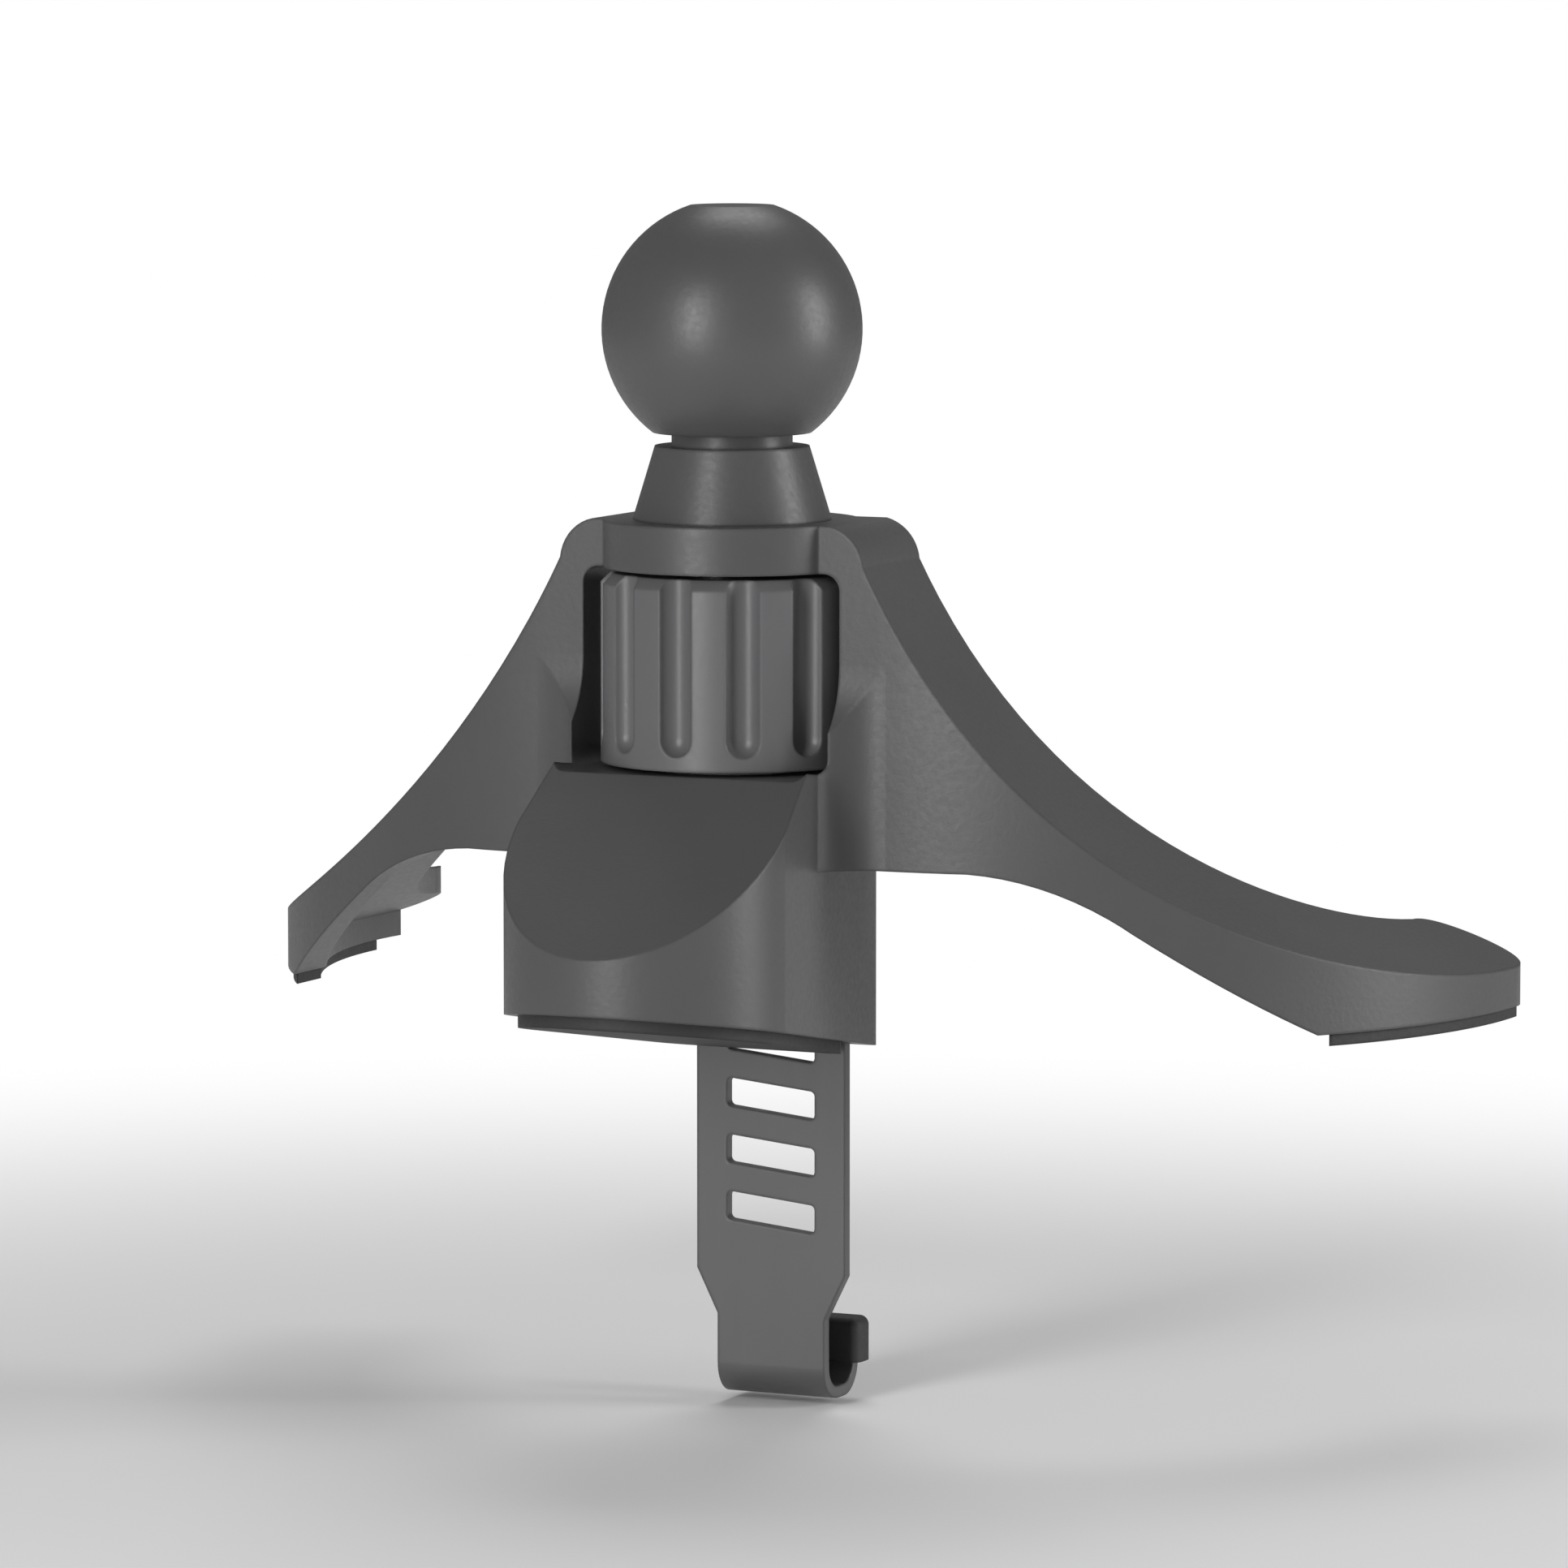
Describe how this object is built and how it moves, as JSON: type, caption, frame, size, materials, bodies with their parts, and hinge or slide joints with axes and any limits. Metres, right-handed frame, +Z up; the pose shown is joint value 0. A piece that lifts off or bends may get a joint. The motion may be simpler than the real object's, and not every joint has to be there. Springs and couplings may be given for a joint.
{
  "type": "air vent phone holder base",
  "caption": "Ball-headed base that clamps to a car air vent: a thumb wheel draws a metal hook up under swept wings.",
  "frame": {"origin": "centre of the ball", "axes": "+Z up through the ball, +X along the wings, +Y to the back where the hook is"},
  "size_m": [0.088, 0.0541, 0.0794],
  "materials": {
    "moulding": "fine satin texture",
    "wheel": "satin",
    "worm": "plain nylon",
    "fastener": "zinc plated",
    "hook_metal": "satin dark coating",
    "rubber": "soft matt"
  },
  "bodies": {
    "mount_body": {"housing": "moulding", "ball_head": "moulding", "head_washer": "fastener", "head_screw": "fastener", "thrust_cap": "moulding", "front_pad": "rubber", "wing_pad_left": "rubber", "wing_pad_right": "rubber"},
    "drive": {"thumb_wheel": "wheel", "worm": "worm"},
    "hook": {"hook_strip": "hook_metal", "hook_tip": "rubber"}
  },
  "joints": [
    {"name": "wheel_turn", "type": "hinge", "parent": "mount_body", "child": "drive", "pos_m": [0, 0, -0.022], "axis": [0, 0, -1], "range_deg": [0, 720]},
    {"name": "hook_slide", "type": "slide", "parent": "mount_body", "child": "hook", "axis": [0, 0, 1], "range_m": [0, 0.0076]}
  ],
  "couplings": [
    {"joint": "hook_slide", "follows": "wheel_turn", "m_per_rad": 0.00060478}
  ]
}
